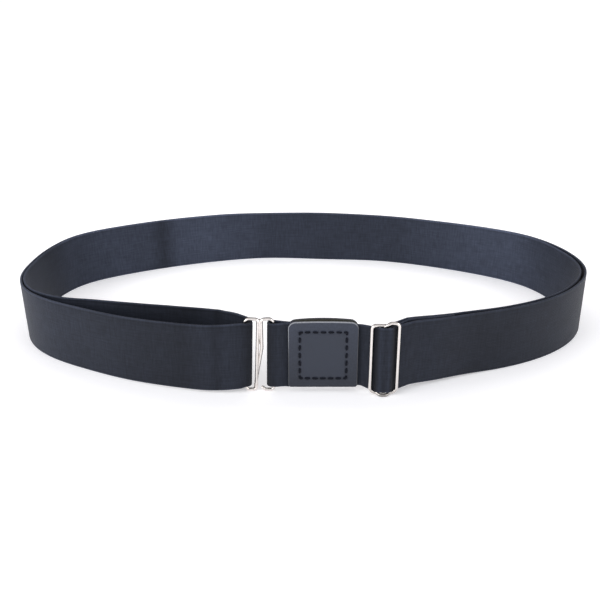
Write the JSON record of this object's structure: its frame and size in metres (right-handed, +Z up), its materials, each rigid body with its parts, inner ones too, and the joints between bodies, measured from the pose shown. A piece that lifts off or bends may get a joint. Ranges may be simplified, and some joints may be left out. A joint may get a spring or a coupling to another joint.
{
  "type": "shirt stay belt",
  "caption": "Elastic webbing belt that holds a shirt tucked in, standing on its edge as a closed layered loop with a wire hook, a stitched leather tab and a wire slider at the front.",
  "frame": {"origin": "middle of the bounding box, on the surface that the belt's lower edge and the wire parts stand on", "axes": "+X along the front of the belt, from the hook towards the slider; +Y from the front to the back of the loop; +Z up, across the webbing's width"},
  "size_m": [0.2842, 0.187, 0.0341],
  "materials": {
    "webbing": "matt woven elastic webbing with fine cross ribs",
    "nickel_wire": "bright nickel-plated wire",
    "tab_leather": "smooth dark leather with a light cut edge and dark thread"
  },
  "bodies": {
    "root": {"elastic_strap": "webbing", "hook_clasp": "nickel_wire", "slider": "nickel_wire", "leather_tab_front": "tab_leather", "leather_tab_back": "tab_leather"}
  },
  "joints": []
}
